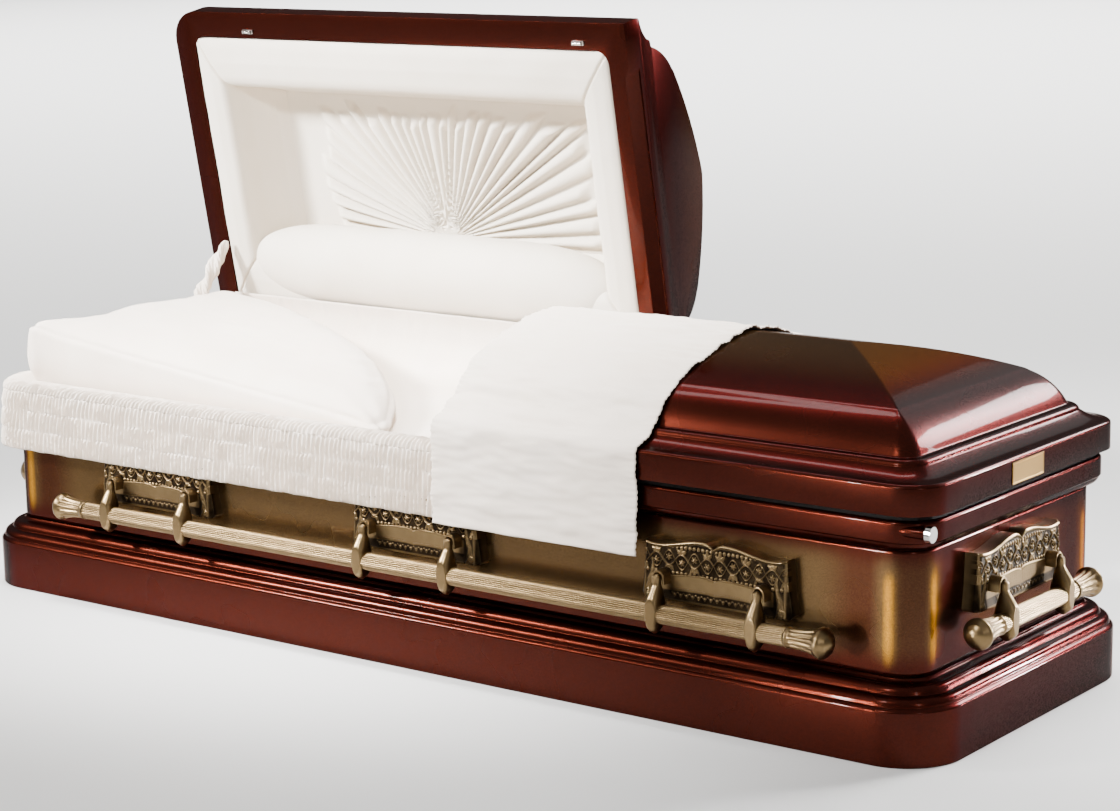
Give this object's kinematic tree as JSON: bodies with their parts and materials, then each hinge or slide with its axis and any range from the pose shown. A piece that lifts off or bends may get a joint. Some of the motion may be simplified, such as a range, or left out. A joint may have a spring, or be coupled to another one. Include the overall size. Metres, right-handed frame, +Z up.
{
  "type": "funeral casket",
  "caption": "Half-couch steel casket with rounded plinth, hipped crown lids on rear hinges, swing-bar handles and cloth lining.",
  "frame": {"origin": "centre of the plinth's underside", "axes": "+X to the foot end, -Y to the front side, +Z up"},
  "size_m": [2.19, 0.8566, 1.0964],
  "materials": {
    "copper_paint": "deep copper-red metallic paint under gloss clear coat, shaded to golden brown",
    "antique_bronze": "cast metal with antique bronze plating, dark in the recesses",
    "ivory_cloth": "ivory crepe and satin over soft fill",
    "zinc_steel": "zinc-plated steel",
    "black_rubber": "matte rubber seal",
    "polished_brass": "satin brass sheet",
    "chrome": "bright chrome plate"
  },
  "bodies": {
    "casket": {"base_moulding": "copper_paint", "bottom_pan": "copper_paint", "body_shell": "copper_paint", "body_rim": "copper_paint", "lid_gasket": "black_rubber", "tube_cap": "chrome", "head_hinge_body_leaf": "zinc_steel", "foot_hinge_body_leaf": "zinc_steel", "bed_frame": "zinc_steel", "mattress": "ivory_cloth", "pillow": "ivory_cloth", "body_lining": "ivory_cloth", "extendover_skirt": "ivory_cloth", "lid_stay": "ivory_cloth", "front_ear_1": "antique_bronze", "front_ear_2": "antique_bronze", "front_ear_3": "antique_bronze", "back_ear_1": "antique_bronze", "back_ear_2": "antique_bronze", "back_ear_3": "antique_bronze", "foot_ear": "antique_bronze", "head_ear": "antique_bronze"},
    "head_lid_body": {"head_lid": "copper_paint", "head_lid_lining": "ivory_cloth", "head_hinge_lid_leaf": "zinc_steel", "lid_catch_1": "chrome", "lid_catch_2": "chrome"},
    "foot_lid_body": {"foot_lid": "copper_paint", "foot_lid_lining": "ivory_cloth", "foot_hinge_lid_leaf": "zinc_steel", "nameplate": "polished_brass", "overlay_throw": "ivory_cloth"},
    "front_handle": {"front_bar": "antique_bronze", "front_tip_a": "antique_bronze", "front_tip_b": "antique_bronze", "front_arm_1a": "antique_bronze", "front_arm_1b": "antique_bronze", "front_arm_2a": "antique_bronze", "front_arm_2b": "antique_bronze", "front_arm_3a": "antique_bronze", "front_arm_3b": "antique_bronze"},
    "back_handle": {"back_bar": "antique_bronze", "back_tip_a": "antique_bronze", "back_tip_b": "antique_bronze", "back_arm_1a": "antique_bronze", "back_arm_1b": "antique_bronze", "back_arm_2a": "antique_bronze", "back_arm_2b": "antique_bronze", "back_arm_3a": "antique_bronze", "back_arm_3b": "antique_bronze"},
    "foot_handle": {"foot_bar": "antique_bronze", "foot_tip_a": "antique_bronze", "foot_tip_b": "antique_bronze", "foot_arm_1a": "antique_bronze", "foot_arm_1b": "antique_bronze"},
    "head_handle": {"head_bar": "antique_bronze", "head_tip_a": "antique_bronze", "head_tip_b": "antique_bronze", "head_arm_1a": "antique_bronze", "head_arm_1b": "antique_bronze"}
  },
  "joints": [
    {"name": "head_lid_hinge", "type": "hinge", "parent": "casket", "child": "head_lid_body", "pos_m": [-0.473, 0.3559, 0.41], "axis": [1, 0, 0], "range_deg": [0, 79.5], "deforming": ["pillow", "extendover_skirt", "lid_stay", "overlay_throw"]},
    {"name": "foot_lid_hinge", "type": "hinge", "parent": "casket", "child": "foot_lid_body", "pos_m": [0.573, 0.3559, 0.41], "axis": [-1, 0, 0], "range_deg": [0, 79.5], "deforming": ["overlay_throw"]},
    {"name": "front_handle_swing", "type": "hinge", "parent": "casket", "child": "front_handle", "pos_m": [0.03, -0.354, 0.241], "axis": [-1, 0, 0], "range_deg": [0, 80]},
    {"name": "back_handle_swing", "type": "hinge", "parent": "casket", "child": "back_handle", "pos_m": [0.03, 0.354, 0.241], "axis": [1, 0, 0], "range_deg": [0, 80]},
    {"name": "foot_handle_swing", "type": "hinge", "parent": "casket", "child": "foot_handle", "pos_m": [1.064, -0.02, 0.251], "axis": [0, -1, 0], "range_deg": [0, 80]},
    {"name": "head_handle_swing", "type": "hinge", "parent": "casket", "child": "head_handle", "pos_m": [-1.064, -0.02, 0.251], "axis": [0, 1, 0], "range_deg": [0, 80]}
  ]
}
